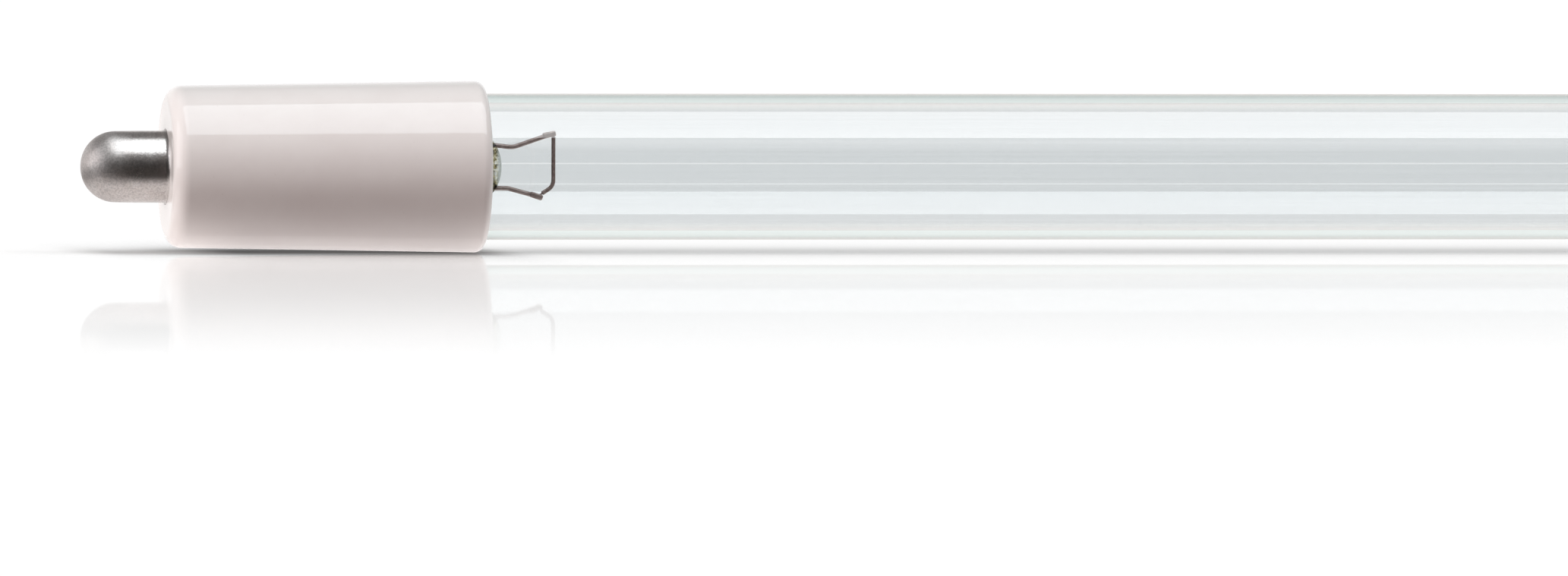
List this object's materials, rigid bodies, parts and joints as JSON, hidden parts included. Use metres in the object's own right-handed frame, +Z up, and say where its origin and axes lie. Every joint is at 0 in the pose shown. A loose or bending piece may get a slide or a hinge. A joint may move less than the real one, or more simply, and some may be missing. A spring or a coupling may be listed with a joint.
{
  "type": "germicidal lamp tube",
  "caption": "Straight clear glass ultraviolet lamp tube with glazed ceramic end caps, one domed contact pin at each end and a coiled cathode on two wires inside each end.",
  "frame": {"origin": "middle of the lamp, on its long axis", "axes": "+X along the lamp towards the right pin, +Z up, with each cathode and its two wires standing in the XZ plane"},
  "size_m": [0.357, 0.0188, 0.0188],
  "materials": {
    "clear_glass": "polished",
    "stem_glass": "polished",
    "glazed_ceramic": "gloss",
    "pin_metal": "satin",
    "solder": "satin",
    "cement": "matte",
    "lead_metal": "satin",
    "seal_copper": "satin",
    "copper_wire": "satin",
    "coil_metal": "satin",
    "mercury": "polished"
  },
  "bodies": {
    "root": {"glass_tube": "clear_glass", "left_glass_stem": "stem_glass", "left_exhaust_tube": "stem_glass", "left_ceramic_cap": "glazed_ceramic", "left_contact_pin": "pin_metal", "left_pin_solder": "solder", "left_basing_cement": "cement", "left_upper_lead": "lead_metal", "left_lower_lead": "lead_metal", "left_upper_seal_wire": "seal_copper", "left_lower_seal_wire": "seal_copper", "left_upper_outer_wire": "copper_wire", "left_lower_outer_wire": "copper_wire", "left_cathode_coil": "coil_metal", "right_glass_stem": "stem_glass", "right_exhaust_tube": "stem_glass", "right_ceramic_cap": "glazed_ceramic", "right_contact_pin": "pin_metal", "right_pin_solder": "solder", "right_basing_cement": "cement", "right_upper_lead": "lead_metal", "right_lower_lead": "lead_metal", "right_upper_seal_wire": "seal_copper", "right_lower_seal_wire": "seal_copper", "right_upper_outer_wire": "copper_wire", "right_lower_outer_wire": "copper_wire", "right_cathode_coil": "coil_metal", "mercury_pellet": "mercury"}
  },
  "joints": []
}
